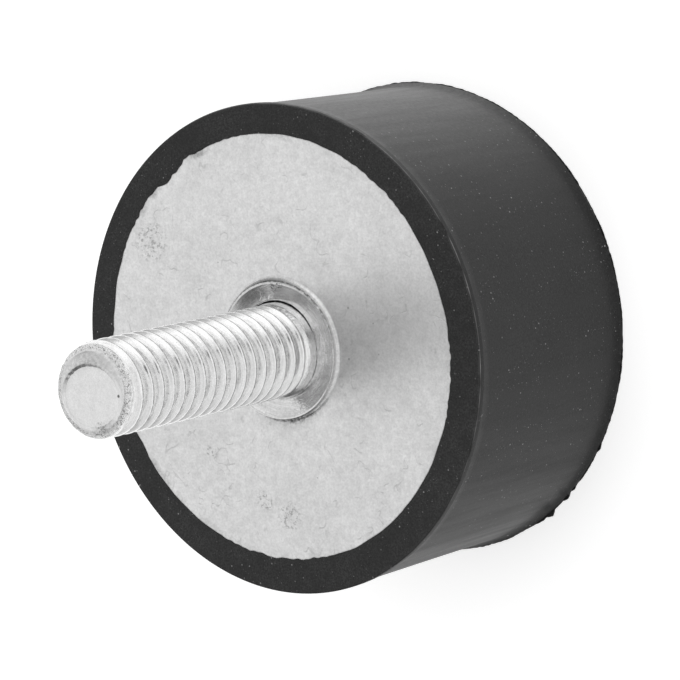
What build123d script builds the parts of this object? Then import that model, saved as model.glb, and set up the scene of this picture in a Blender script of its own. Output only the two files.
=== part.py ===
from build123d import *
import os

# Bobbin vibration mount: a rubber cylinder bonded between two steel end plates. The front plate
# carries an M8 stud, the rear plate a blind M8 threaded bush. All lengths are in millimetres. The
# part stands on its rear face at Z = 0, with the stud pointing along +Z.

# Rubber body
body_height = 20.0          # rear face to front face
front_diameter = 40.0       # front rim
front_rim_height = 0.5      # depth of the rim before the wall steps in
front_rim_step = 0.12       # how far the rim stands proud of the wall
front_edge_chamfer = 0.12
waist_diameter = 39.46      # at mid height
rear_neck_diameter = 39.2   # where the wall meets the rear lip
rear_lip_diameter = 39.86   # lip squeezed out at the parting line of the mould
rear_lip_height = 1.15      # from the rear face to where the flare starts
rear_lip_edge = 0.25        # straight edge of the lip
rear_lip_sag = 0.04         # how hollow the flare is

# Steel plates, bonded into both ends with their outer faces flush
plate_diameter = 35.6
plate_thickness = 2.0

# Collar drawn in the front plate round the stud, with a dished face
collar_diameter = 11.4
collar_rise = 0.53
collar_land = 0.31          # flat ring left round the dish
collar_dish_depth = 0.4
collar_dish_sag = 0.05      # how hollow the dish's face is
collar_edge_chamfer = 0.1
collar_foot_fillet = 0.3

# Stud, held from behind by its head
thread_diameter = 7.7       # over the crests of the M8 thread
neck_diameter = 7.76        # plain neck below the thread
neck_rise = 0.7             # straight neck above the front face, before it tapers to the groove
relief_rise = 1.3           # from the front face to the groove where the thread runs out
relief_diameter = 6.8
relief_width = 0.1
stud_length = 23.0          # front face to tip
tip_flat_diameter = 5.1
tip_round_length = 0.82
tip_round_bulge = 0.12      # how far the rounded end bulges out of a plain chamfer
head_diameter = 13.5
head_thickness = 2.5
shoulder_diameter = 9.2     # shoulder that fills the hollow behind the collar
neck_clearance = 0.1        # between the neck and the plate's hole, on radius

# Threaded bush in the rear plate
bush_diameter = 12.0
bush_length = 11.0
bush_flange_diameter = 15.0
bush_flange_thickness = 2.0
bush_bore_diameter = 6.8    # tapping size for M8
bush_bore_depth = 8.5
bush_bore_cone = 1.9        # depth of the drill point
bush_mouth_diameter = 8.4

# Levels and radii that follow from them
front = body_height
plate_back = front - plate_thickness
collar_top = front + collar_rise
dish_floor = collar_top - collar_dish_depth
hollow_roof = plate_back + collar_rise
head_back = plate_back - head_thickness
neck_top = front + neck_rise
relief_foot = front + relief_rise
relief_top = relief_foot + relief_width
tip = front + stud_length
flange_top = plate_thickness + bush_flange_thickness

plate_radius = plate_diameter / 2
collar_radius = collar_diameter / 2
thread_radius = thread_diameter / 2
neck_radius = neck_diameter / 2
relief_radius = relief_diameter / 2
hole_radius = neck_radius + neck_clearance
head_radius = head_diameter / 2
shoulder_radius = shoulder_diameter / 2
tip_radius = tip_flat_diameter / 2
bush_radius = bush_diameter / 2
bush_flange_radius = bush_flange_diameter / 2
bore_radius = bush_bore_diameter / 2
mouth_radius = bush_mouth_diameter / 2


def turned(*lines):
    """Solid turned about Z from a closed half-section of lines drawn as (radius, height)."""
    return revolve(Plane.XZ * make_face(Curve() + list(lines)), Axis.Z)


def bulged(start, end, height):
    """Arc from start to end that stands the given height off its chord, to the chord's left."""
    chord = Vector(*end) - Vector(*start)
    middle = (Vector(*start) + Vector(*end)) / 2
    side = Vector(-chord.Y, chord.X).normalized()
    return ThreePointArc(start, middle + side * height, end)


def make_rubber_body():
    """Rubber, moulded round the edges and the backs of both plates."""
    rim_radius = front_diameter / 2
    wall_radius = rim_radius - front_rim_step
    rim_foot = front - front_rim_height
    neck = rear_neck_diameter / 2
    lip = rear_lip_diameter / 2
    return turned(
        Polyline(
            (0, bush_length),
            (0, head_back),
            (head_radius, head_back),
            (head_radius, plate_back),
            (plate_radius, plate_back),
            (plate_radius, front),
            (rim_radius - front_edge_chamfer, front),
            (rim_radius, front - front_edge_chamfer),
            (rim_radius, rim_foot),
            (wall_radius, rim_foot - front_rim_step),
        ),
        ThreePointArc(
            (wall_radius, rim_foot - front_rim_step),
            (waist_diameter / 2, (rim_foot + rear_lip_height) / 2),
            (neck, rear_lip_height),
        ),
        bulged((neck, rear_lip_height), (lip, rear_lip_edge), -rear_lip_sag),
        Polyline(
            (lip, rear_lip_edge),
            (lip, 0),
            (plate_radius, 0),
            (plate_radius, plate_thickness),
            (bush_flange_radius, plate_thickness),
            (bush_flange_radius, flange_top),
            (bush_radius, flange_top),
            (bush_radius, bush_length),
            (0, bush_length),
        ),
    )


def make_front_plate():
    """Stamped disc with the dished collar drawn round its hole and a hollow behind the collar."""
    land_radius = collar_radius - collar_land
    collar_foot = collar_radius + collar_foot_fillet
    return turned(
        Line((hole_radius, hollow_roof), (hole_radius, dish_floor)),
        bulged((hole_radius, dish_floor), (land_radius, collar_top), -collar_dish_sag),
        Polyline(
            (land_radius, collar_top),
            (collar_radius - collar_edge_chamfer, collar_top),
            (collar_radius, collar_top - collar_edge_chamfer),
            (collar_radius, front + collar_foot_fillet),
        ),
        RadiusArc(
            (collar_radius, front + collar_foot_fillet),
            (collar_foot, front),
            -collar_foot_fillet,
        ),
        Polyline(
            (collar_foot, front),
            (plate_radius, front),
            (plate_radius, plate_back),
            (shoulder_radius, plate_back),
            (shoulder_radius, hollow_roof),
            (hole_radius, hollow_roof),
        ),
    )


def make_threaded_stud():
    """Stud with its head, shoulder, neck, run-out, shank over the thread's crests and end."""
    shank_foot = relief_top + thread_radius - relief_radius
    shank_top = tip - tip_round_length
    return turned(
        Polyline(
            (tip_radius, tip),
            (0, tip),
            (0, head_back),
            (head_radius, head_back),
            (head_radius, plate_back),
            (shoulder_radius, plate_back),
            (shoulder_radius, hollow_roof),
            (neck_radius, hollow_roof),
            (neck_radius, neck_top),
            (relief_radius, relief_foot),
            (relief_radius, relief_top),
            (thread_radius, shank_foot),
            (thread_radius, shank_top),
        ),
        bulged((thread_radius, shank_top), (tip_radius, tip), -tip_round_bulge),
    )


def make_rear_plate():
    """Flat stamped disc with a hole for the bush."""
    return turned(
        Polyline(
            (bush_radius, 0),
            (plate_radius, 0),
            (plate_radius, plate_thickness),
            (bush_radius, plate_thickness),
            (bush_radius, 0),
        )
    )


def make_threaded_bush():
    """Bush pressed into the rear plate, with a flange behind it and a blind tapped hole."""
    mouth_depth = mouth_radius - bore_radius
    return turned(
        Polyline(
            (mouth_radius, 0),
            (bush_radius, 0),
            (bush_radius, plate_thickness),
            (bush_flange_radius, plate_thickness),
            (bush_flange_radius, flange_top),
            (bush_radius, flange_top),
            (bush_radius, bush_length),
            (0, bush_length),
            (0, bush_bore_depth + bush_bore_cone),
            (bore_radius, bush_bore_depth),
            (bore_radius, mouth_depth),
            (mouth_radius, 0),
        )
    )


pieces = {
    "rubber_body": make_rubber_body(),
    "front_plate": make_front_plate(),
    "threaded_stud": make_threaded_stud(),
    "rear_plate": make_rear_plate(),
    "threaded_bush": make_threaded_bush(),
}

os.makedirs("parts", exist_ok=True)
for node, piece in pieces.items():
    export_step(piece, f"parts/{node}.step")
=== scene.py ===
"""Looks of the bobbin vibration mount: moulded rubber, zinc-plated plates and a rolled M8 stud."""
import math

import bmesh
import bpy
import numpy as np
from mathutils import Matrix, Vector


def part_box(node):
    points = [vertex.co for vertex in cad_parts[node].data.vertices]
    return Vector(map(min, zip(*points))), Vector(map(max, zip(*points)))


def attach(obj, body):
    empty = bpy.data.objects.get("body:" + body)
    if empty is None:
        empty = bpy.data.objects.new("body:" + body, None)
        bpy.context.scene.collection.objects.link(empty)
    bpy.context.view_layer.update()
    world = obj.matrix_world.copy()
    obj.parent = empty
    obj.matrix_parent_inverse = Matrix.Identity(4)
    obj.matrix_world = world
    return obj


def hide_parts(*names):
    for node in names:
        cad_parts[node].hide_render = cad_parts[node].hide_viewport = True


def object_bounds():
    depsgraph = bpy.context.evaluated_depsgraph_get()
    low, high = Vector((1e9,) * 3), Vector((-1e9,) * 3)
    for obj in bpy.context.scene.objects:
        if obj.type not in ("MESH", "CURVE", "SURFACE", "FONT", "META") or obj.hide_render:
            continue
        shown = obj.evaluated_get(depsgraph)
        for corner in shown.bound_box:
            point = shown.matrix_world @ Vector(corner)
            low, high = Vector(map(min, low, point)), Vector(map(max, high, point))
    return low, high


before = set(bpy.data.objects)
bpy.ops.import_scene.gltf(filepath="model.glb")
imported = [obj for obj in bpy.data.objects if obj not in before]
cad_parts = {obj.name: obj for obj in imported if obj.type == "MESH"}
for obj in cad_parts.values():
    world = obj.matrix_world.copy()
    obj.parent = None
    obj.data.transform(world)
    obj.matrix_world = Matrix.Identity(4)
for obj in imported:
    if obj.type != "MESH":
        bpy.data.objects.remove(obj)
cad_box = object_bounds()

MM = 0.001
TURN = 2 * math.pi


# ---------------------------------------------------------------- sizes, in millimetres

def top_corner(node):
    """Highest corner of a CAD node, in millimetres."""
    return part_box(node)[1] / MM


front = top_corner("rubber_body").z           # outer face of the front plate
rim_radius = top_corner("rubber_body").x
plate_radius = top_corner("front_plate").x
collar_top = top_corner("front_plate").z
tip = top_corner("threaded_stud").z
rear_plate_top = top_corner("rear_plate").z
bush_top = top_corner("threaded_bush").z
bush_flange_radius = top_corner("threaded_bush").x
head_radius = top_corner("threaded_stud").x
plate_thickness = rear_plate_top
plate_back = front - plate_thickness
head_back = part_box("threaded_stud")[0].z / MM

# Rubber
film_height = 0.045         # flash on the front plate's edge
film_slope = 0.07           # width over which it rises
film_radius = 17.33         # where it ends on the plate
film_centre = (0.235, -0.18)    # it is not quite round with the plate
edge_round = 0.1
rim_height = 0.5            # the proud rim of the front end
rim_step = 0.12
waist_radius = 19.73
neck_radius = 19.6
lip_radius = 19.92
lip_height = 1.15           # where the flare of the rear lip starts
lip_edge = 0.25             # the lip's straight edge
fin_height = 0.11           # thickness of the flash at the rear end

# Collar in the front plate
collar_radius = 5.7
collar_land = (0.03, 0.27)  # its flat ring: everywhere, and more where it is widest
collar_dish_depth = 0.4
collar_dish_sag = 0.05
collar_edge_round = 0.1
collar_foot_round = 0.3
hole_radius = 3.97
hole_round = 0.05

# Stud and thread
pitch = 1.25
crest_radius = 3.82
thread_depth = 0.6134 * pitch
thread_foot = front + 0.76  # the lowest level that the thread's run-out reaches
neck_profile = (            # the neck's radius and its height above the front plate, upwards
    (3.96, 0.08),
    (3.95, 0.18),
    (3.91, 0.32),
    (3.88, 0.5),
    (3.83, 0.7),
    (3.72, 0.93),
    (3.56, 1.15),
    (3.3, 1.4),
)
shoulder_radius = 4.6
shoulder_top = plate_back + (collar_top - front)
end_centre = (0.08, 0.45)   # the flat at the tip is not central
end_across = 2.72           # its radius along X, to the foot of its raised rim
end_along = 2.38            # and along Y
end_sink = 0.085            # how far it lies below the rim
end_rim = 0.26              # width of the rim's inner slope
end_depth = (0.19, 0.56)    # the rounding's height: a constant, and a share of its width
end_length = 1.25           # tip to where the thread's rows give way to the end's rings
worn_radii = (3.05, 3.35, 3.6, 3.72)    # a rough band on the end: starts, full, to here, ends
worn_depths = (0.75, 0.5)   # and how far below the tip it starts and is full

# Bush
bush_radius = 6.0
bush_flange_top = rear_plate_top + 2.0
bush_edge = 0.12            # chamfer where it meets the rear plate
bore_foot = 0.12            # where the mesh of its thread starts, inside the cone of the mouth
bore_root_radius = 4.0
bore_crest_radius = 3.4
bore_depth = 8.5
bore_runout = (0.6, 2.0)    # the thread ends this far above the foot of the hole, and fades over
bore_cone = 1.9             # depth of the drill point
mouth_radius = 4.2


# ---------------------------------------------------------------- marks, in mm and degrees

# X and Y, and the radius where there is a third number
plate_specks = ((-7.06, 0.73), (-7.4, -3.37))
plate_smears = ((2.8, 12.4, 1.1), (0.4, 13.6, 1.6), (12.6, -9.0, 2.2), (8.2, 8.6, 0.9))
collar_nicks = ((-0.9, -5.25, 0.55), (-0.2, -5.2, 0.45))
collar_nick_rise = 0.35     # above the front plate
end_pit = (-2.62, 0.38)
end_smear = (-0.6, 2.9)
rubber_hairs = (            # both ends of each
    ((-9.7, -17.3, 19.5), (-9.1, -17.5, 15.7)),
    ((-19.0, 5.8, 20.0), (-19.2, 5.2, 19.2)),
    ((-19.3, -3.2, 13.0), (-19.1, -4.2, 11.2)),
    ((-17.6, 8.6, 9.5), (-17.9, 8.0, 8.1)),
)
film_nicks = (              # angle, width and depth of dents in the flash's edge, or of bulges
    (-57.5, 4.5, 0.3),
    (-53, 2.8, 0.42),
    (-64, 3, -0.14),
    (-45, 2, -0.1),
    (27, 4, 0.2),
)
film_smears = (             # angle, width and share of smears of rubber on the plate
    (-68, 4, 0.8),
    (-48, 2.5, 0.7),
    (-41, 2, 0.7),
    (-95, 6, 0.35),
    (36, 6, 0.6),
    (60, 5, 0.4),
)
fin_tatters = (             # angle, width and reach of torn bits of the rear flash
    (124.5, 1.6, 0.38),
    (121.5, 2.2, 0.16),
    (131, 1.5, 0.18),
    (134, 1.0, 0.12),
    (147, 1.2, 0.14),
)
film_torn = (-60, 14, 0.6)  # angle, width and amount of the most ragged part of its edge
foot_smear = (100, 45, 0.75)    # and of the dirt at the collar's foot
neck_dark_reflection = (-112, 52, 0.6)    # and of the painted dark reflection on the top of the stud's neck
end_stains = ((-85, 95, 0.75), (108, 27, 0.8))  # and of the dirt inside the rim at the tip
scuffed_side = 215          # where the front edge is scuffed
painted_light_side = -95            # painted light: the wall is lighter on this side, where the light falls, and has some dust
land_side = -80             # where the collar's flat ring is widest, and its painted dark outline is strongest
rim_side = -60              # where the rim round the tip's flat is highest


# ---------------------------------------------------------------- light and camera

world_level = 0.90
world_patches = (           # direction, full within and gone beyond these angles, and change
    ((0.38, 0.55, 0.74), 8, 20, -0.60),
    ((0.50, 0.66, 0.56), 8, 28, -0.15),
    ((0.70, 0.70, 0.15), 10, 34, -0.20),
    ((0.66, -0.68, 0.30), 10, 32, -0.50),
    ((-0.25, -0.88, 0.40), 10, 36, 0.35),
    ((0.05, -0.60, 0.80), 10, 30, 0.25),
    ((0.00, 0.00, 1.00), 5, 28, 0.20),
    ((-0.57, -0.28, 0.77), 3, 13, -0.75),
    ((-0.80, 0.05, 0.60), 8, 28, -0.08),
    ((0.85, 0.11, 0.52), 8, 26, 0.20),
    ((-1.00, 0.00, 0.10), 10, 40, 0.20),
    ((0.00, -1.00, 0.10), 10, 34, 0.10),
    ((1.00, 0.00, 0.05), 10, 35, -0.25),
)
key_direction = (0.45, -0.75, 0.48)
key_distance = 0.6          # in metres
key_size = 0.35             # in metres
key_radiance = 0.2
floor_size = 6.0            # in metres
floor_drop = 0.02           # how far it lies below the part, in millimetres
floor_tone = 0.86
floor_glow = 0.44
camera_aim = (-3.866, -0.3774, 16.8964)
camera_distance = 322.792
camera_angles = (-170.18, 51.30, 102.505)   # azimuth, elevation and roll
camera_lens = 211.76        # on a sensor 36 wide


# ---------------------------------------------------------------- numbers that vary round a ring

def angles(count):
    return np.arange(count) * TURN / count


def ripple(theta, slowest, fastest, seed):
    """Smooth random wave round a circle, about 1 high, from slowest to fastest waves a turn."""
    random = np.random.default_rng(seed)
    waves = np.arange(slowest, fastest + 1)
    phases = random.uniform(0, TURN, len(waves))
    heights = random.normal(0, 1, len(waves))
    total = sum(h * np.cos(k * theta + p) for k, h, p in zip(waves, heights, phases))
    return total / math.sqrt(len(waves) / 2)


def facing(theta, side):
    """1 towards the angle side, in degrees, 0 across it and -1 on the far side."""
    return np.cos(theta - math.radians(side))


def hump(theta, centre, width, amount=1):
    """amount at the angle centre and 0 beyond width from it, both in degrees."""
    away = (np.degrees(theta) - centre + 180) % 360 - 180
    return amount * np.clip(1 - np.abs(away) / width, 0, 1) ** 0.7


# ---------------------------------------------------------------- meshes from rings of points

class Skin:
    """A closed mesh built from rings of points, in millimetres, joined by bands of faces."""

    def __init__(self, columns):
        self.theta = angles(columns)
        self.columns = columns
        self.points = []
        self.faces = []
        self.dirt_and_painted_light = []
        self.tags = []
        self.tag = 0

    def ring(self, radius, height, dirt_and_painted_light=0.0):
        """Adds a ring. Radius, height and marking, for stains and painted light and shade, are one
        number each or one for each column.
        """
        first = len(self.points)
        self.dirt_and_painted_light.extend(np.broadcast_to(dirt_and_painted_light, self.columns))
        radius = np.broadcast_to(radius, self.columns)
        height = np.broadcast_to(height, self.columns)
        across = radius * np.cos(self.theta)
        along = radius * np.sin(self.theta)
        self.points.extend(zip(across, along, height))
        return list(range(first, first + self.columns))

    def pole(self, height):
        """A single point on the axis."""
        self.points.append((0, 0, height))
        self.dirt_and_painted_light.append(0.0)
        return [len(self.points) - 1]

    def face(self, *corners):
        self.faces.append(list(dict.fromkeys(corners)))
        self.tags.append(self.tag)

    def band(self, lower, upper):
        """Faces between two rings, or between a ring and a pole."""
        for j in range(self.columns):
            k = (j + 1) % self.columns
            self.face(
                lower[j % len(lower)],
                lower[k % len(lower)],
                upper[k % len(upper)],
                upper[j % len(upper)],
            )

    def loft(self, rings, closed=False):
        """Bands through all the rings in turn."""
        for lower, upper in zip(rings, rings[1:]):
            self.band(lower, upper)
        if closed:
            self.band(rings[-1], rings[0])

    def helix(self, low, high, pitch, phases, shape):
        """Rows that climb one pitch a turn from low to high, whose ends it returns.

        phases are the rows' places in a pitch, and shape(theta, z) gives their radius and dirt.
        """
        rows = len(phases)
        turns = math.ceil((high - low) / pitch) + 2
        grid = []
        for turn in range(-1, turns):
            for phase in phases:
                level = low + pitch * (turn + phase + self.theta / TURN)
                z = np.clip(level, low, high)
                radius, dirt_and_painted_light = shape(self.theta, z)
                grid.append(self.ring(radius, z, dirt_and_painted_light))
        last = len(grid) - 1
        for i in range(last):
            for j in range(self.columns):
                if j + 1 < self.columns:
                    self.face(grid[i][j], grid[i][j + 1], grid[i + 1][j + 1], grid[i + 1][j])
                else:
                    near = grid[min(i + rows, last)][0]
                    far = grid[min(i + 1 + rows, last)][0]
                    self.face(grid[i][j], near, far, grid[i + 1][j])
        return grid[0], grid[-1]

    def build(self, name, materials, sharp=35):
        """The finished object, with coincident points merged and normals outward."""
        mesh = bpy.data.meshes.new(name)
        points = [tuple(value * MM for value in point) for point in self.points]
        mesh.from_pydata(points, [], self.faces)
        mesh.polygons.foreach_set("material_index", self.tags)
        mesh.attributes.new("dirt_and_painted_light", "FLOAT", "POINT").data.foreach_set("value", self.dirt_and_painted_light)
        work = bmesh.new()
        work.from_mesh(mesh)
        bmesh.ops.remove_doubles(work, verts=work.verts, dist=2e-4 * MM)
        bmesh.ops.dissolve_degenerate(work, edges=work.edges, dist=1e-4 * MM)
        bmesh.ops.recalc_face_normals(work, faces=work.faces)
        work.to_mesh(mesh)
        work.free()
        mesh.shade_smooth()
        mesh.set_sharp_from_angle(angle=math.radians(sharp))
        for material in materials:
            mesh.materials.append(material)
        piece = bpy.data.objects.new(name, mesh)
        bpy.context.scene.collection.objects.link(piece)
        return piece


def arc(start, end, bulge, steps):
    """Points after start up to end on an arc that stands bulge off the chord, to its left."""
    start, end = np.array(start, float), np.array(end, float)
    chord = end - start
    length = math.hypot(*chord)
    side = np.array([-chord[1], chord[0]]) / length
    radius = (length ** 2 / 4 + bulge ** 2) / (2 * bulge)
    centre = (start + end) / 2 + side * (bulge - radius)
    half = math.asin(min(1, length / 2 / abs(radius)))
    if abs(bulge) > length / 2:
        half = math.pi - half
    points = []
    for step in range(1, steps + 1):
        turn = half * (2 * step / steps - 1)
        out = side * math.cos(turn) * radius + chord / length * math.sin(turn) * abs(radius)
        points.append(tuple(centre + out))
    return points


# ---------------------------------------------------------------- materials

class Shader:
    """One material's nodes. Lengths are in millimetres."""

    def __init__(self, name):
        self.material = bpy.data.materials.new(name)
        self.material.use_nodes = True
        self.tree = self.material.node_tree
        self.tree.nodes.clear()
        self.place = self.node("TexCoord").outputs["Object"]

    def node(self, kind, values=None, **settings):
        made = self.tree.nodes.new("ShaderNode" + kind)
        for key, value in settings.items():
            setattr(made, key, value)
        for key, value in (values or {}).items():
            if isinstance(value, bpy.types.NodeSocket):
                self.tree.links.new(value, made.inputs[key])
            else:
                made.inputs[key].default_value = value
        return made

    def math(self, operation, *values):
        return self.node("Math", dict(enumerate(values)), operation=operation).outputs[0]

    def vector(self, operation, *values, out=0):
        return self.node("VectorMath", dict(enumerate(values)), operation=operation).outputs[out]

    def times(self, first, *others):
        """The product of several values."""
        for other in others:
            first = self.math("MULTIPLY", first, other)
        return first

    def most(self, first, *others):
        """The highest of several values."""
        for other in others:
            first = self.math("MAXIMUM", first, other)
        return first

    def off_axis(self):
        """Distance from the part's axis, in metres."""
        return self.vector("LENGTH", self.stretched(1, 1, 0), out=1)

    def height(self):
        """Distance above the part's foot, in metres."""
        return self.node("SeparateXYZ", {0: self.place}).outputs[2]

    def turned(self, size, drift):
        """Noise in fine rings round the axis, of that size, that drift slowly along them."""
        across = self.node("CombineXYZ", {0: self.off_axis(), 1: self.height()}).outputs[0]
        place = self.vector("ADD", across, self.stretched(drift, drift, 0))
        return self.noise(size, detail=3, roughness=0.6, place=place)

    def stretched(self, *scale):
        """The place with each axis scaled, to draw a pattern out along one of them."""
        return self.vector("MULTIPLY", self.place, scale)

    def noise(self, size, detail=4, roughness=0.55, place=None):
        """Cloudy noise whose blobs are about size millimetres across."""
        values = {
            "Vector": place or self.place,
            "Scale": 1 / (size * MM),
            "Detail": detail,
            "Roughness": roughness,
        }
        return self.node("TexNoise", values).outputs[0]

    def between(self, value, low, high, start=0.0, end=1.0):
        """start where value is low or less, end where it is high or more, smooth between."""
        values = {
            "Value": value,
            "From Min": low,
            "From Max": high,
            "To Min": start,
            "To Max": end,
        }
        return self.node("MapRange", values, interpolation_type="SMOOTHSTEP").outputs[0]

    def blend(self, amount, first, second):
        """first where amount is 0 and second where it is 1."""
        difference = self.math("SUBTRACT", second, first)
        return self.math("MULTIPLY_ADD", amount, difference, first)

    def tint(self, base, amount, tone, strength=1):
        """base with a tone over it where amount is 1, at that strength."""
        if strength != 1:
            amount = self.times(amount, strength)
        return self.blend(amount, base, tone)

    def specks(self, spacing, size, share):
        """1 in round specks of that size on a share of the cells of a grid of that spacing."""
        values = {"Vector": self.place, "Scale": 1 / (spacing * MM)}
        cells = self.node("TexVoronoi", values)
        radius = size / spacing / 2
        near = self.between(cells.outputs["Distance"], radius * 0.5, radius, 1.0, 0.0)
        lot = self.node("SeparateColor", {0: cells.outputs["Color"]}).outputs[0]
        return self.times(near, self.math("LESS_THAN", lot, share))

    def spot(self, centre, radius):
        """1 at a point, fading to 0 at that radius from it."""
        away = self.vector("SUBTRACT", self.place, tuple(Vector(centre) * MM))
        distance = self.vector("LENGTH", away, out=1)
        return self.between(distance, radius * MM * 0.4, radius * MM, 1.0, 0.0)

    def smudge(self, centre, radius, size=0.35):
        """Broken smears of that size within a radius of a point."""
        streaks = self.between(self.noise(size, detail=5, roughness=0.7), 0.51, 0.6)
        return self.times(self.spot(centre, radius), streaks)

    def stroke(self, start, end, width):
        """1 on a straight line between two points."""
        start, end = Vector(start) * MM, Vector(end) * MM
        run = end - start
        away = self.vector("SUBTRACT", self.place, tuple(start))
        share = self.vector("DOT_PRODUCT", away, tuple(run / run.length_squared), out=1)
        share = self.node("Clamp", {0: share}).outputs[0]
        foot = self.node("VectorMath", {0: tuple(run), 3: share}, operation="SCALE").outputs[0]
        distance = self.vector("LENGTH", self.vector("SUBTRACT", away, foot), out=1)
        return self.between(distance, width * MM * 0.25, width * MM * 0.75, 1.0, 0.0)

    def dirt_and_painted_light(self, least=0.4, most=1.35):
        """The mesh's own marking, stains with painted light and shade, times fine noise that goes
        from least to most.
        """
        amount = self.node("Attribute", attribute_name="dirt_and_painted_light").outputs["Fac"]
        patchy = self.between(self.noise(0.3, detail=6, roughness=0.75), 0.35, 0.65, least, most)
        return self.node("Clamp", {0: self.times(amount, patchy)}).outputs[0]

    def curls(self, size, width, share):
        """Fine curly scratches of that width, on about that share of the surface."""
        bend = self.noise(size, detail=1.5, roughness=0.5)
        away = self.math("ABSOLUTE", self.math("SUBTRACT", bend, 0.5))
        line = self.between(away, width / size * 0.25, width / size * 0.6, 1.0, 0.0)
        drift = self.vector("ADD", self.place, (size * 7 * MM, 0, 0))
        where = self.noise(size * 1.3, detail=2, place=drift)
        return self.times(line, self.between(where, 0.96 - share, 1.04 - share))

    def finish(self, values, bumps):
        """Principled surface with bumps given as (height, depth)."""
        normal = None
        for height, depth in bumps:
            bump = {"Height": height, "Distance": depth * MM}
            if normal:
                bump["Normal"] = normal
            normal = self.node("Bump", bump).outputs[0]
        if normal:
            values = dict(values, Normal=normal)
        surface = self.node("BsdfPrincipled", values)
        self.node("OutputMaterial", {"Surface": surface.outputs[0]})
        return self.material


def zinc_plate():
    """Passivated zinc on the plate: pale, finely mottled, with stains, specks and scratches, and
    painted shade round the collar and in its hole.
    """
    shader = Shader("zinc_plate")
    cloud = shader.noise(5.0, detail=3)
    mottle = shader.noise(0.9, detail=6, roughness=0.7)
    fine = shader.noise(0.38, detail=5, roughness=0.7)
    grain = shader.noise(0.2, detail=3, roughness=0.6)
    stain = shader.between(shader.noise(2.4, detail=8, roughness=0.75), 0.58, 0.76)
    rings = shader.turned(0.16, drift=0.12)
    # 1 on the collar, which is drawn and so is smoother than the plate, and 0 outside it
    drawn_from, drawn_to = (collar_radius + out for out in (-0.1, 0.4))
    drawn = shader.between(shader.off_axis(), drawn_from * MM, drawn_to * MM, 1.0, 0.0)
    base = shader.times(
        shader.between(cloud, 0.3, 0.7, 0.69, 0.74),
        shader.between(mottle, 0.3, 0.75, 1.01, 0.96),
        shader.between(fine, 0.3, 0.72, 0.91, 1.06),
        shader.between(grain, 0.25, 0.75, 0.93, 1.07),
        shader.between(stain, 0.0, 1.0, 1.0, 0.84),
        shader.blend(drawn, 1.0, shader.between(rings, 0.3, 0.7, 0.92, 1.08)),
    )
    marks = [
        shader.specks(spacing=1.7, size=0.16, share=0.35),
        shader.times(shader.specks(spacing=0.7, size=0.09, share=0.35), 0.5),
    ]
    marks += [shader.spot((x, y, front), 0.13) for x, y in plate_specks]
    marks += [shader.smudge((x, y, front), radius) for x, y, radius in plate_smears]
    base = shader.tint(base, shader.most(*marks), tone=0.3, strength=0.75)
    scratches = shader.most(
        shader.curls(size=1.5, width=0.05, share=0.40),
        shader.curls(size=2.7, width=0.05, share=0.36),
    )
    base = shader.tint(base, scratches, tone=0.35, strength=0.3)
    nick_level = front + collar_nick_rise
    nicks = [shader.smudge((x, y, nick_level), radius, size=0.2) for x, y, radius in collar_nicks]
    base = shader.tint(base, shader.most(*nicks), tone=0.12)
    # the mesh's marking: painted shade in the hole, in the collar's crease and along its rounded
    # edge, with rubber smears near the flash and a smear below the collar
    base = shader.tint(base, shader.dirt_and_painted_light(), tone=0.09)
    rough = shader.between(mottle, 0.3, 0.7, 0.30, 0.42)
    rough = shader.times(rough, shader.blend(drawn, 1.0, 0.5))
    values = {"Base Color": base, "Roughness": rough, "Metallic": 1.0}
    return shader.finish(values, [
        (mottle, 0.006),
        (fine, 0.005),
        (grain, 0.004),
        (shader.times(rings, drawn), 0.006),
        (scratches, -0.008),
    ])


def zinc_stud():
    """Bright zinc on rolled thread, with fine marks that run round it, a rough worn end, and
    painted shade in the thread and on the neck.
    """
    shader = Shader("zinc_stud")
    smear = shader.noise(0.9, detail=4, roughness=0.6, place=shader.stretched(1, 1, 2.5))
    grain = shader.noise(0.14, detail=3)
    radius = shader.off_axis()
    height = shader.height()
    # 0 on the flat at the tip and on its rim, and 1 everywhere else
    shank = shader.between(height, (tip - 0.2) * MM, (tip - 0.12) * MM, 1.0, 0.0)
    streak = shader.blend(shank, 0.5, shader.turned(0.10, drift=0.10))
    base = shader.times(
        shader.between(smear, 0.3, 0.7, 0.76, 0.84),
        shader.between(streak, 0.3, 0.7, 0.93, 1.05),
        shader.blend(shank, 0.88, 1.0),
        shader.between(grain, 0.3, 0.75, 0.95, 1.05),
    )
    specks = shader.specks(spacing=0.9, size=0.11, share=0.2)
    base = shader.tint(base, specks, tone=0.3, strength=0.6)
    pits = shader.most(
        shader.spot((*end_pit, tip - 0.1), 0.17),
        shader.smudge((*end_smear, tip - 0.15), 0.7, size=0.2),
    )
    base = shader.tint(base, pits, tone=0.12)
    starts, full, fades, ends = (level * MM for level in worn_radii)
    worn = shader.times(
        shader.between(radius, starts, full),
        shader.between(radius, fades, ends, 1.0, 0.0),
        shader.between(height, *((tip - depth) * MM for depth in worn_depths)),
    )
    chatter = shader.times(shader.noise(0.22, detail=4, roughness=0.7), worn)
    flecks = shader.between(shader.noise(0.2, detail=4, roughness=0.7), 0.53, 0.6)
    base = shader.tint(base, shader.times(flecks, worn), tone=0.3)
    # the mesh's marking: stains in the thread, with a painted shade line along each crest, a
    # painted dark reflection on the top of the neck, and stains inside the rim at the tip
    base = shader.tint(base, shader.dirt_and_painted_light(), tone=0.10)
    rough = shader.between(smear, 0.3, 0.7, 0.12, 0.24)
    values = {"Base Color": base, "Roughness": rough, "Metallic": 1.0}
    return shader.finish(values, [
        (smear, 0.02),
        (streak, 0.006),
        (grain, 0.004),
        (chatter, 0.16),
    ])


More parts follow.
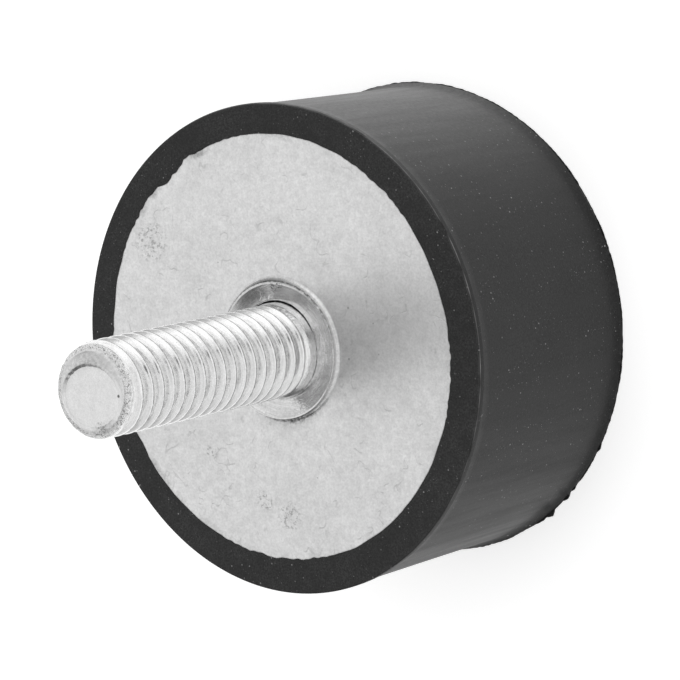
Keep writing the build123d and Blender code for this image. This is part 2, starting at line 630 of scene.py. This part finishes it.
def rubber(name, tone, roughness, level):
    """Black moulded rubber with drawn streaks, pale dust, a few hairs, scuffed edges and painted
    light on one side of the wall.
    """
    shader = Shader(name)
    cloud = shader.noise(6.0, detail=4)
    grain = shader.noise(0.16, detail=3, roughness=0.7)
    drawn = shader.noise(1.1, detail=4, roughness=0.6, place=shader.stretched(1, 1, 0.07))
    base = shader.times(
        shader.between(cloud, 0.3, 0.7, 0.8, 1.2),
        tone,
        shader.between(drawn, 0.3, 0.7, 0.6, 1.5),
        shader.between(grain, 0.3, 0.72, 0.3, 2.2),
    )
    gathered = shader.between(shader.noise(5.0, detail=2), 0.35, 0.65, 0.25, 1.0)
    for spacing, size, share, dust_tone in (
        (0.26, 0.08, 0.6, 0.1),
        (0.75, 0.17, 0.8, 0.27),
        (0.42, 0.11, 0.7, 0.17),
    ):
        dust = shader.times(shader.specks(spacing, size, share), gathered)
        base = shader.tint(base, dust, dust_tone)
    hairs = shader.most(*(shader.stroke(start, end, 0.08) for start, end in rubber_hairs))
    base = shader.tint(base, hairs, tone=0.22, strength=0.7)
    # the mesh's marking, which tints paler: scuffs on the front edge, and painted light down one
    # side of the wall, with some dust
    base = shader.tint(base, shader.dirt_and_painted_light(0.8, 1.2), tone=0.16)
    values = {
        "Base Color": base,
        "Roughness": shader.between(drawn, 0.3, 0.7, roughness, roughness + 0.1),
        "Specular IOR Level": level,
    }
    return shader.finish(values, [(grain, 0.012), (drawn, 0.01)])


# ---------------------------------------------------------------- pieces

def film_edge(theta):
    """Radius where the flash ends on the front plate: off centre, ragged, with a few nicks."""
    across, along = film_centre
    reach = across * np.cos(theta) + along * np.sin(theta)
    offset = across * np.sin(theta) - along * np.cos(theta)
    radius = reach + np.sqrt(film_radius ** 2 - offset ** 2)
    ragged = np.clip(0.25 + ripple(theta, 3, 14, 21), 0.1, 1) + hump(theta, *film_torn)
    radius = radius + 0.03 * ripple(theta, 5, 40, 1) + 0.03 * ragged * ripple(theta, 40, 150, 2)
    for nick in film_nicks:
        radius = radius - hump(theta, *nick)
    return np.minimum(radius, plate_radius - 0.02)


def film_slivers(theta):
    """Share of the plate's edge that a thin grey smear of rubber covers, just inside the flash."""
    cover = 0.15 * np.clip(ripple(theta, 10, 60, 13), 0, 1)
    for smear in film_smears:
        cover = cover + hump(theta, *smear)
    return np.clip(cover, 0, 1)


def fin_reach(theta):
    """How far the flash stands out of the rear lip, with tatters where the moulding tore."""
    reach = 0.035 + 0.02 * ripple(theta, 8, 60, 3) + 0.012 * ripple(theta, 80, 240, 4)
    reach = np.clip(reach, 0.0, rim_radius - lip_radius - 0.01)
    for tatter in fin_tatters:
        reach = reach + hump(theta, *tatter)
    return reach


def make_rubber(columns=720):
    """Rubber between and round the plates, with flash at both ends."""
    skin = Skin(columns)
    theta = skin.theta
    face = front + film_height
    wall_top = rim_radius - rim_step
    rim_foot = front - rim_height
    film = film_edge(theta)
    scuff = np.clip(0.5 + 0.5 * facing(theta, scuffed_side), 0, 1) ** 2
    scuff = np.clip(scuff * (0.55 + 0.35 * ripple(theta, 6, 60, 14)), 0, 0.9)
    # painted light: a lighter band down the wall on the side the light falls from, with some dust
    dust_and_painted_light = 0.75 * np.clip(facing(theta, painted_light_side), 0, 1) ** 6
    wave = 0.012 * ripple(theta, 2, 9, 5)
    fin = lip_radius + fin_reach(theta)

    # front face, from the edge of the flash outwards
    skin.tag = 0
    flat_start = film + film_slope
    flat_end = rim_radius - edge_round
    ring_face = [
        skin.ring(film, front),
        skin.ring(film + 0.03, face - 0.012),
        skin.ring(flat_start, face),
    ]
    for share in (0.25, 0.5, 0.75, 0.95):
        ring_face.append(skin.ring(flat_start + share * (flat_end - film - film_slope), face))
    ring_face.append(skin.ring(flat_end, face, 0.2 * scuff))
    skin.loft(ring_face)

    # wall, from the front edge down
    skin.tag = 1
    rim_end = (rim_radius, rim_foot + 0.05)
    step_end = (wall_top, rim_foot - rim_step)
    neck = (neck_radius, lip_height)
    waist = waist_radius - (wall_top + neck_radius) / 2
    flare = -(lip_radius - neck_radius) / 4
    outline = arc((flat_end, face), (rim_radius, face - edge_round), edge_round * 0.29, 4)
    outline += [rim_end] + arc(rim_end, step_end, -0.01, 4)
    outline += arc(step_end, neck, waist, 22)
    outline += arc(neck, (lip_radius, lip_edge), flare, 7)
    wall = [ring_face[-1]]
    for radius, height in outline:
        sway = wave * min(1, max(0, (rim_foot - height) / 4))
        on_edge = face - 0.8 * edge_round < height < face - 0.15 * edge_round
        # scuffs on the front edge, and below it the painted light down one side of the wall
        soil_and_painted_light = scuff if on_edge else dust_and_painted_light
        wall.append(skin.ring(radius + sway if radius < wall_top else radius, height, soil_and_painted_light))
    wall += [
        skin.ring(lip_radius, fin_height),
        skin.ring(fin, fin_height),
        skin.ring(fin + 0.01, fin_height / 2),
        skin.ring(fin, 0),
    ]
    skin.loft(wall)

    # rear face and the hidden faces against the plates, the bush and the stud's head
    skin.tag = 0
    inside = [wall[-1]]
    outline = [
        (lip_radius, 0),
        (plate_radius, 0),
        (plate_radius, rear_plate_top),
        (bush_flange_radius, rear_plate_top),
        (bush_flange_radius, bush_flange_top),
        (bush_radius, bush_flange_top),
        (bush_radius, bush_top),
    ]
    inside += [skin.ring(radius, height) for radius, height in outline]
    inside += [skin.pole(bush_top)]
    skin.loft(inside)
    outline = [
        (head_radius, head_back),
        (head_radius, plate_back),
        (plate_radius, plate_back),
        (plate_radius, front),
    ]
    pocket = [skin.pole(head_back)]
    pocket += [skin.ring(radius, height) for radius, height in outline]
    skin.loft(pocket + [ring_face[0]])
    return skin.build("rubber", [
        rubber("rubber_face", tone=0.009, roughness=0.55, level=0.38),
        rubber("rubber_wall", tone=0.006, roughness=0.42, level=0.29),
    ])


def collar_shift(theta):
    """How far the drawn collar stands off its circle: off centre and a little oval."""
    return -0.19 * np.cos(theta) - 0.06 * np.sin(theta) + 0.067 * np.cos(2 * theta)


def make_plate(columns=360):
    """Front plate with its dished collar."""
    skin = Skin(columns)
    theta = skin.theta
    shift = collar_shift(theta)
    wide = np.clip(0.5 + 0.7 * facing(theta, land_side), 0, 1)
    land = collar_radius - collar_land[0] - collar_land[1] * wide
    dish_floor = collar_top - collar_dish_depth
    torn = 0.015 * ripple(theta, 2, 7, 7) + 0.008 * ripple(theta, 8, 60, 8)
    hole = hole_radius - 0.06 * np.sin(theta) + torn
    # painted shade: a dark outline along the collar's rounded edge, strongest where the flat ring
    # is widest
    edge_painted_shade = np.clip(0.25 + 0.7 * wide ** 2, 0, 1)
    # painted shade in the crease at the collar's foot, more where the flat ring is widest, and a
    # smear below the collar
    foot_dirt_and_shade = np.clip(0.1 + 0.08 * wide + hump(theta, *foot_smear), 0, 1)
    spread = 0.1 + 0.9 * hump(theta, *foot_smear[:2])

    # hole, and the dish from the hole's rounded edge to the flat ring; the hole and its edge are
    # painted dark, a painted shade for the gap round the stud's neck
    rings = [
        skin.ring(hole_radius, shoulder_top, 1),
        skin.ring(hole, dish_floor - 0.2, 1),
        skin.ring(hole, dish_floor - hole_round, 0.8),
        skin.ring(hole + hole_round * 0.3, dish_floor - hole_round * 0.3, 0.5),
        skin.ring(hole + hole_round, dish_floor, 0.15),
    ]
    dish_width = land + shift - hole - hole_round
    for share in np.linspace(0, 1, 13)[1:]:
        sag = -4 * collar_dish_sag * share * (1 - share)
        height = dish_floor + (collar_dish_depth - 0.012) * share + sag
        rings.append(skin.ring(hole + hole_round + share * dish_width, height))

    # flat ring, the collar's edge and the fillet at its foot
    edge = collar_radius - collar_edge_round
    rings.append(skin.ring(land + shift + 0.035, collar_top))
    rings.append(skin.ring(edge + shift, collar_top, edge_painted_shade * 0.4))
    edge_end = (collar_radius, collar_top - collar_edge_round)
    shoulder = arc((edge, collar_top), edge_end, 0.029, 4)
    rings += [skin.ring(radius + shift, height, edge_painted_shade) for radius, height in shoulder]
    foot = (collar_radius, front + collar_foot_round)
    foot_end = collar_radius + collar_foot_round
    rings.append(skin.ring(foot[0] + shift, foot[1], foot_dirt_and_shade * 0.7))
    fillet = arc(foot, (foot_end, front), -collar_foot_round * 0.2929, 7)
    rings += [skin.ring(radius + shift, height, foot_dirt_and_shade) for radius, height in fillet]
    for out, share in ((0.08, 0.75), (0.18, 0.5), (0.35, 0.3), (0.6, 0.12), (0.9, 0.0)):
        rings.append(skin.ring(foot_end + out + shift, front, foot_dirt_and_shade * share * spread))

    # flat face, out to the flash and under it, and the back
    film = film_edge(theta)
    slivers = film_slivers(theta)
    rings += [skin.ring(radius, front) for radius in (8.0, 11.0, 14.0)]
    rings += [
        skin.ring(film - 0.55, front),
        skin.ring(film - 0.3, front, 0.5 * slivers),
        skin.ring(film - 0.1, front, 0.6 * slivers),
        skin.ring(film + 0.02, front, 0.5),
    ]
    outline = [
        (plate_radius, front),
        (plate_radius, plate_back),
        (shoulder_radius, plate_back),
        (shoulder_radius, shoulder_top),
    ]
    rings += [skin.ring(radius, height) for radius, height in outline]
    skin.loft(rings, closed=True)
    return skin.build("plate", [zinc_plate()])


# One pitch of the thread, from crest to crest: phase, share of the thread's depth, and soil in the
# root and along the crest's back edge, which there also paints the dark shade line where each turn
# hides the next
thread_rows = (
    (0.0, 0.008, 1.0),
    (0.045, 0.0, 0.75),
    (0.08, 0.010, 0.15),
    (0.115, 0.040, 0.0),
    (0.16, 0.10, 0.0),
    (0.205, 0.20, 0.0),
    (0.26, 0.34, 0.0),
    (0.325, 0.53, 0.0),
    (0.40, 0.75, 0.0),
    (0.465, 0.92, 0.1),
    (0.52, 1.0, 0.2),
    (0.60, 1.0, 0.2),
    (0.66, 0.93, 0.1),
    (0.72, 0.78, 0.1),
    (0.83, 0.44, 0.1),
    (0.93, 0.13, 0.6),
    (0.965, 0.045, 1.0),
)
thread_phases, thread_shares, grime_and_shade_shares = zip(*thread_rows)


def round_turn(phase, shares):
    """A share that goes with the phase of the pitch, from the rows above."""
    return np.interp(phase, thread_phases + (1.0,), shares + shares[:1])


def thread_surface(theta, z):
    """Radius of the stud above its straight neck, up to the foot of the rounded end, and its soil
    with painted shade and a painted dark reflection.
    """
    phase = ((z - thread_foot) / pitch - theta / TURN) % 1
    depth = thread_depth * round_turn(phase, thread_shares)
    # the thread grows from 0 to 1 above the neck, and fades from 1 to 0 at the tip
    start = np.clip((z - thread_foot - 0.1) / 1.0, 0, 1)
    fade = np.clip((tip - 0.2 - z) / 2.0, 0, 1)
    lumps = 0.006 * ripple(theta + 1.7 * z, 6, 50, 9) * (0.6 + 2.2 * (1 - fade) ** 2)
    crest = crest_radius - 0.06 * (1 - fade) + lumps - 0.12 * (1 - start)
    radius = crest - depth * (0.2 + 0.8 * fade) * (0.15 + 0.85 * start)
    heights, radii = zip(*((front + height, radius) for radius, height in neck_profile))
    neck = np.interp(z, heights, radii, right=0) + 0.005 * ripple(theta - 0.8 * z, 3, 20, 15)
    # stains in the thread's root, and painted shade: a dark line along each crest's back edge,
    # where one turn hides the next
    grime_and_shade = round_turn(phase, grime_and_shade_shares) * (0.85 + 0.15 * ripple(theta + 0.9 * z, 3, 30, 10))
    grime_and_shade = np.clip(grime_and_shade, 0, 1) * (0.35 + 0.65 * fade) * start
    # a faint stain all round the neck, and a painted dark reflection on its top
    neck_soil_and_dark_reflection = 0.05 + hump(theta, *neck_dark_reflection)
    return np.maximum(radius, neck), np.where(neck > radius, neck_soil_and_dark_reflection, grime_and_shade)


def flat_outline(theta):
    """Radius of the tip's flat, an ellipse whose centre is off the axis, in each direction."""
    cos, sin = np.cos(theta), np.sin(theta)
    ex, ey = end_centre
    squared = (cos / end_across) ** 2 + (sin / end_along) ** 2
    half_linear = ex * cos / end_across ** 2 + ey * sin / end_along ** 2
    constant = (ex / end_across) ** 2 + (ey / end_along) ** 2 - 1
    return (half_linear + np.sqrt(half_linear ** 2 - squared * constant)) / squared


def make_stud(columns=190):
    """Stud with a rolled right-hand thread that runs out at the neck and over the rounded end."""
    skin = Skin(columns)
    theta = skin.theta
    foot_radius, foot_rise = neck_profile[0]
    head = [
        (head_radius, head_back),
        (head_radius, plate_back),
        (shoulder_radius, plate_back),
        (shoulder_radius, shoulder_top),
        (foot_radius, shoulder_top),
        (foot_radius, front + foot_rise),
    ]
    foot = [skin.pole(head_back)] + [skin.ring(radius, height) for radius, height in head]
    for rise in (0.3, 0.5, 0.7, 0.8):
        radius = thread_surface(theta, np.full_like(theta, front + rise))[0]
        foot.append(skin.ring(radius, front + rise, 0.1))
    end_foot = tip - end_length
    first, last = skin.helix(thread_foot, end_foot, pitch, thread_phases, thread_surface)
    skin.loft(foot + [first])

    # rounded end: its height goes with its width, which differs round the off-centre flat
    flat = flat_outline(theta) + 0.015 * ripple(theta, 4, 40, 16)
    peak = flat + end_rim
    raised = np.clip(0.35 + 0.75 * facing(theta, rim_side), 0, 1)
    level = tip - end_sink
    brim = level + end_sink * raised
    ground_in = sum(hump(theta, *stain) for stain in end_stains)
    drop = end_depth[0] + end_depth[1] * (crest_radius - peak) - end_sink * (1 - raised)
    low = end_foot + 0.3
    end = [last]
    for rise in (0.12, 0.24):
        radius, grime_and_shade = thread_surface(theta, np.full_like(theta, end_foot + rise))
        end.append(skin.ring(radius, end_foot + rise, grime_and_shade))
    for share in np.linspace(0, 1, 15)[1:-1]:
        turn = math.pi / 2 * (1 - share)
        lift = 0.0 if share < 0.1 else 0.02 * share
        height = np.maximum(brim - drop * (1 - math.cos(turn)), low + lift)
        body, grime_and_shade = thread_surface(theta, height)
        swing = np.sin(7 * share * TURN / 2 + 0.5 * ripple(theta, 2, 9, 17))
        ridge = 0.014 * swing * math.sin(math.pi * share) * (1 + 0.5 * ripple(theta, 5, 40, 18))
        reach = peak + (crest_radius - peak) * math.sin(turn) + ridge
        # the thread's stains and painted shade fade over the rounded end, with stains inside the
        # rim
        soil_and_painted_light = grime_and_shade * (1 - share) + 0.05 + 0.5 * ground_in * max(0, share - 0.6) / 0.4
        end.append(skin.ring(np.minimum(reach, body + 0.3 * share), height, soil_and_painted_light))

    # the rim's inner slope, down to the sunken flat
    end.append(skin.ring(peak, brim, 0.6 * ground_in))
    for share in (0.25, 0.5, 0.75, 0.92):
        height = brim + (level - brim) * share ** 1.5
        end.append(skin.ring(peak - end_rim * share, height, ground_in * (0.3 + 0.5 * share)))
    floor = level - 0.004
    end.append(skin.ring(flat, level, 0.15 + 0.8 * ground_in))
    end.append(skin.ring(flat - 0.05, floor, 0.2 * ground_in))
    end += [skin.ring(flat * share, floor) for share in (0.85, 0.5, 0.2)]
    skin.loft(end + [skin.pole(floor)])
    return skin.build("stud", [zinc_stud()])


def bore_surface(theta, z):
    """Radius and grime of the bush's tapped hole, which runs out above its foot."""
    ends, fades = bore_runout
    phase = ((z - bore_foot) / pitch - theta / TURN) % 1
    full = np.clip((bore_depth - ends - z) / fades, 0, 1)
    share = full * (1 - round_turn(phase, thread_shares))
    radius = bore_crest_radius + (bore_root_radius - bore_crest_radius) * share
    return np.maximum(radius, mouth_radius - z), 0.25 * share


def make_bush(columns=120):
    """Bush in the rear plate, with a blind tapped hole."""
    skin = Skin(columns)
    outline = [
        (bush_radius, bush_top),
        (bush_radius, bush_flange_top),
        (bush_flange_radius, bush_flange_top),
        (bush_flange_radius, rear_plate_top),
        (bush_radius, rear_plate_top),
        (bush_radius, bush_edge),
        (bush_radius - bush_edge, 0),
        (mouth_radius + 0.05, 0),
        (mouth_radius, 0.03),
    ]
    outside = [skin.pole(bush_top)] + [skin.ring(radius, height) for radius, height in outline]
    first, last = skin.helix(bore_foot, bore_depth - 0.3, pitch, thread_phases, bore_surface)
    skin.loft(outside + [first])
    foot = skin.ring(bore_crest_radius, bore_depth, 0.3)
    skin.loft([last, foot, skin.pole(bore_depth + bore_cone)])
    return skin.build("bush", [bpy.data.materials["zinc_stud"]])


def dress(piece, node):
    """Puts a piece in a CAD node's place."""
    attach(piece, "root")
    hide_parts(node)


def assign(node, material):
    """Gives a CAD node that stays a better material."""
    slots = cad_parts[node].data.materials
    slots.clear()
    slots.append(material)


# ---------------------------------------------------------------- stage, light and camera

def white_floor():
    """Floor that shows white to the camera and in reflections, and keeps the object's shadow."""
    shader = Shader("floor")
    rays = shader.node("LightPath").outputs
    seen = shader.most(*(rays[f"Is {kind} Ray"] for kind in ("Camera", "Glossy", "Transmission")))
    matt = shader.node("BsdfDiffuse", {"Color": (floor_tone, floor_tone, floor_tone, 1)})
    strength = shader.times(seen, floor_glow)
    glow = shader.node("Emission", {"Color": (1, 1, 1, 1), "Strength": strength})
    both = shader.node("AddShader", {0: matt.outputs[0], 1: glow.outputs[0]})
    shader.node("OutputMaterial", {"Surface": both.outputs[0]})
    return shader.material


def make_floor():
    """Square floor just below the part, with its middle under the part."""
    half = floor_size / 2
    level = cad_box[0][2] - floor_drop * MM
    corners = [(-half, -half), (half, -half), (half, half), (-half, half)]
    mesh = bpy.data.meshes.new("floor")
    mesh.from_pydata([(x, y, level) for x, y in corners], [], [(0, 1, 2, 3)])
    mesh.materials.append(white_floor())
    floor = bpy.data.objects.new("floor", mesh)
    bpy.context.scene.collection.objects.link(floor)


def make_world():
    """White to the camera, and a soft surround with dim and bright patches to everything else."""
    world = bpy.data.worlds.new("studio")
    bpy.context.scene.world = world
    world.use_nodes = True
    tree = world.node_tree
    tree.nodes.clear()

    def add(kind, values=None, **settings):
        made = tree.nodes.new("ShaderNode" + kind)
        for key, value in settings.items():
            setattr(made, key, value)
        for key, value in (values or {}).items():
            if isinstance(value, bpy.types.NodeSocket):
                tree.links.new(value, made.inputs[key])
            else:
                made.inputs[key].default_value = value
        return made

    direction = add("TexCoord").outputs["Generated"]

    def patch(centre, inner, outer, change):
        """change within the inner angle round a direction, fading to 0 at the outer one."""
        centre = tuple(Vector(centre).normalized())
        dot = add("VectorMath", {0: direction, 1: centre}, operation="DOT_PRODUCT").outputs[1]
        values = {
            "Value": dot,
            "From Min": math.cos(math.radians(outer)),
            "From Max": math.cos(math.radians(inner)),
            "To Min": 0.0,
            "To Max": change,
        }
        return add("MapRange", values, interpolation_type="SMOOTHSTEP").outputs[0]

    level = world_level
    for spot in world_patches:
        level = add("Math", {0: level, 1: patch(*spot)}, operation="ADD").outputs[0]
    rays = add("LightPath").outputs["Is Camera Ray"]
    level = add("Math", {0: level, 1: rays}, operation="MAXIMUM").outputs[0]
    light = add("Background", {"Color": (1, 1, 1, 1), "Strength": level})
    add("OutputWorld", {"Surface": light.outputs[0]})


def area_light(name, direction, distance, size, radiance):
    """Square softbox that faces the object from a direction, with that radiance."""
    data = bpy.data.lights.new(name, "AREA")
    data.shape = "SQUARE"
    data.size = size
    data.energy = radiance * math.pi * size ** 2
    lamp = bpy.data.objects.new(name, data)
    bpy.context.scene.collection.objects.link(lamp)
    aim = Vector((0, 0, front * MM))
    away = Vector(direction).normalized()
    turn = away.to_track_quat("Z", "Y").to_matrix().to_4x4()
    lamp.matrix_world = Matrix.Translation(aim + away * distance) @ turn


def make_camera():
    """Camera above and behind the rubber's edge, rolled so that the stud points left."""
    azimuth, elevation, roll = map(math.radians, camera_angles)
    back = Vector((
        math.cos(elevation) * math.cos(azimuth),
        math.cos(elevation) * math.sin(azimuth),
        math.sin(elevation),
    ))
    level_right = (-back).cross(Vector((0, 0, 1))).normalized()
    level_up = back.cross(level_right)
    right = level_right * math.cos(roll) - level_up * math.sin(roll)
    up = level_up * math.cos(roll) + level_right * math.sin(roll)
    data = bpy.data.cameras.new("camera")
    data.sensor_width = 36
    data.lens = camera_lens
    data.clip_start = 0.01
    data.clip_end = 20
    camera = bpy.data.objects.new("camera", data)
    bpy.context.scene.collection.objects.link(camera)
    place = Vector(camera_aim) * MM + back * (camera_distance * MM)
    turn = Matrix((right, up, back)).transposed().to_4x4()
    camera.matrix_world = Matrix.Translation(place) @ turn
    bpy.context.scene.camera = camera


bpy.context.scene.view_settings.view_transform = "Standard"
make_camera()
make_world()
make_floor()
area_light("key", key_direction, key_distance, key_size, key_radiance)

dress(make_rubber(), "rubber_body")
dress(make_plate(), "front_plate")
dress(make_stud(), "threaded_stud")
dress(make_bush(), "threaded_bush")
assign("rear_plate", bpy.data.materials["zinc_plate"])
